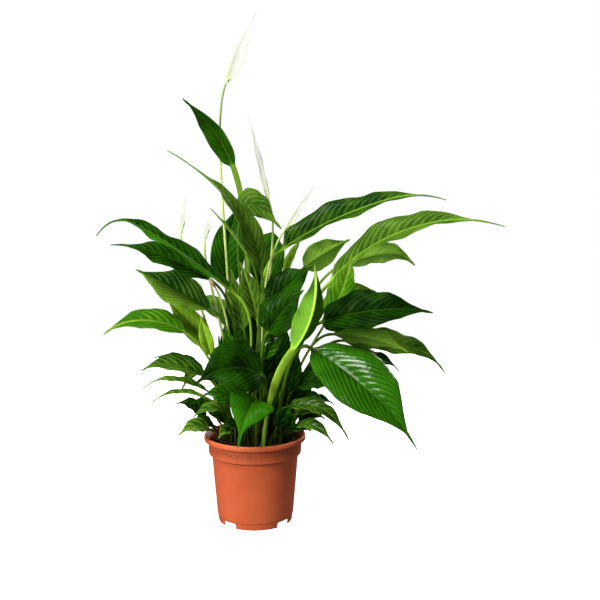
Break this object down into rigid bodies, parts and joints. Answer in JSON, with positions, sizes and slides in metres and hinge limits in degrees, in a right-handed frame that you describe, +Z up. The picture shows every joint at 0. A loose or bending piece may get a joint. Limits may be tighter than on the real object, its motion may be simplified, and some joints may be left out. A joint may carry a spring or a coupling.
{
  "type": "potted peace lily",
  "caption": "Leafy flowering house plant with upright white hooded blooms in a stepped round nursery pot.",
  "frame": {"origin": "middle of the pot's underside, on the surface that the pot stands on", "axes": "+Z up along the pot's axis, front of the plant towards -Y, +X to the viewer's right"},
  "size_m": [0.4575, 0.2699, 0.5835],
  "materials": {
    "pot_plastic": "satin moulded terracotta-coloured plastic",
    "soil": "damp peat with bits of bark",
    "leaf_dark": "glossy dark green, ribbed with veins",
    "leaf_mid": "satin mid green, ribbed with veins",
    "leaf_young": "satin yellow-green",
    "stalk_green": "smooth pale green",
    "spathe_white": "soft translucent white",
    "spadix_cream": "knobbly cream florets",
    "withered_bud": "dry, shrunken brown"
  },
  "bodies": {
    "root": {"pot": "pot_plastic", "soil": "soil", "leaf_01": "leaf_dark", "leaf_02": "leaf_mid", "leaf_03": "leaf_mid", "leaf_04": "leaf_mid", "leaf_05": "leaf_dark", "leaf_06": "leaf_dark", "leaf_07": "leaf_dark", "leaf_08": "leaf_mid", "leaf_09": "leaf_young", "leaf_10": "leaf_mid", "leaf_11": "leaf_mid", "leaf_12": "leaf_mid", "leaf_13": "leaf_mid", "leaf_14": "leaf_young", "leaf_15": "leaf_young", "leaf_16": "leaf_dark", "leaf_17": "leaf_mid", "leaf_18": "leaf_young", "leaf_19": "leaf_dark", "leaf_20": "leaf_dark", "leaf_21": "leaf_young", "leaf_22": "leaf_dark", "leaf_23": "leaf_dark", "leaf_24": "leaf_mid", "leaf_25": "leaf_mid", "leaf_26": "leaf_young", "leaf_27": "leaf_dark", "leaf_28": "leaf_dark", "leaf_29": "leaf_dark", "leaf_30": "leaf_mid", "leaf_31": "leaf_dark", "leaf_32": "leaf_mid", "leaf_33": "leaf_mid", "leaf_34": "leaf_dark", "shoot_1": "leaf_young", "shoot_2": "leaf_mid", "shoot_3": "leaf_mid", "shoot_4": "leaf_dark", "shoot_5": "leaf_mid", "shoot_6": "leaf_dark", "shoot_7": "leaf_mid", "shoot_8": "leaf_mid", "bloom_1_stem": "stalk_green", "bloom_1_spathe": "spathe_white", "bloom_1_spadix": "spadix_cream", "bloom_2_stem": "stalk_green", "bloom_2_spathe": "spathe_white", "bloom_2_spadix": "spadix_cream", "bloom_3_stem": "stalk_green", "bloom_3_spathe": "spathe_white", "bloom_3_spadix": "spadix_cream", "bloom_4_stem": "stalk_green", "bloom_4_spathe": "spathe_white", "bloom_4_spadix": "spadix_cream", "bloom_5_stem": "stalk_green", "bloom_5_spathe": "spathe_white", "bloom_5_spadix": "spadix_cream", "withered_bloom": "withered_bud"}
  },
  "joints": []
}
